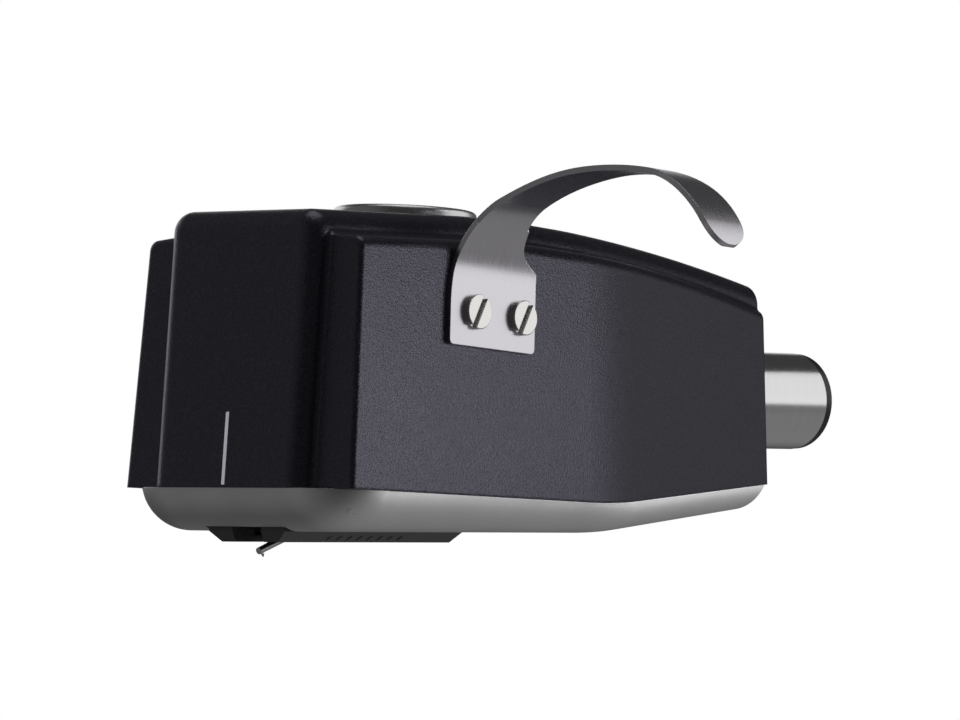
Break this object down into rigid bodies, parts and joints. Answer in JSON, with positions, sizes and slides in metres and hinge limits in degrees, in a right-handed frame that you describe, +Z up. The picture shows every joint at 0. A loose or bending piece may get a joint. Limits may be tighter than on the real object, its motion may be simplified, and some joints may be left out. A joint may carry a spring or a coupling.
{
  "type": "turntable pickup cartridge",
  "caption": "Moving-coil pickup cartridge in a tapered black head with a silver base sled, a curved finger lift and a round bayonet arm plug.",
  "frame": {"origin": "on the plug's axis, in the plane of the shell's rear face, where the arm's collar stops", "axes": "+X along the plug towards the arm, +Z up away from the record, finger lift on the -Y side"},
  "size_m": [0.0698, 0.0484, 0.03],
  "materials": {
    "shell": "fine textured black moulding",
    "sled": "satin",
    "disc": "satin turned",
    "lift": "brushed",
    "lift_screws": "nickel plated",
    "sleeve": "nickel plated",
    "insulator": "black moulding",
    "contacts": "gold plated",
    "key": "nickel plated",
    "screws": "plain steel",
    "case": "black moulding",
    "iron": "soft iron",
    "magnet": "ground alloy",
    "wire": "music wire",
    "damper": "soft rubber",
    "coils": "enamelled copper",
    "cantilever": "drawn tube",
    "diamond": "polished",
    "clips": "tinned",
    "lead_white": "insulated wire",
    "lead_blue": "insulated wire",
    "lead_green": "insulated wire",
    "lead_red": "insulated wire"
  },
  "bodies": {
    "headshell": {"upper_shell": "shell", "base_sled": "sled", "top_disc": "disc", "finger_lift": "lift", "finger_lift_screws": "lift_screws", "plug_sleeve": "sleeve", "plug_insulator": "insulator", "plug_contact_pins": "contacts", "plug_key": "key", "tail_screw": "screws", "sled_screws": "screws", "cartridge_screws": "screws", "pole_pin_grub": "screws", "cartridge_case": "case", "cartridge_lid": "case", "terminal_pins": "contacts", "front_pole_plate": "iron", "rear_pole_plate": "iron", "pole_pin": "iron", "magnet": "magnet", "suspension_wire": "wire", "lead_clips": "clips", "lead_white": "lead_white", "lead_blue": "lead_blue", "lead_green": "lead_green", "lead_red": "lead_red"},
    "damper": {"damper_ring": "damper"},
    "stylus_assembly": {"armature": "iron", "coil_left": "coils", "coil_right": "coils", "cantilever": "cantilever", "stylus_tip": "diamond"}
  },
  "joints": [
    {"name": "stylus_lateral", "type": "hinge", "parent": "headshell", "child": "damper", "pos_m": [-0.04278, 0, -0.00908], "axis": [-0.3338, 0, 0.9426], "range_deg": [-3, 3], "stiffness_Nm_per_rad": 0.006},
    {"name": "stylus_vertical", "type": "hinge", "parent": "damper", "child": "stylus_assembly", "pos_m": [-0.04278, 0, -0.00908], "axis": [0, 1, 0], "range_deg": [-1.5, 4], "stiffness_Nm_per_rad": 0.006}
  ]
}
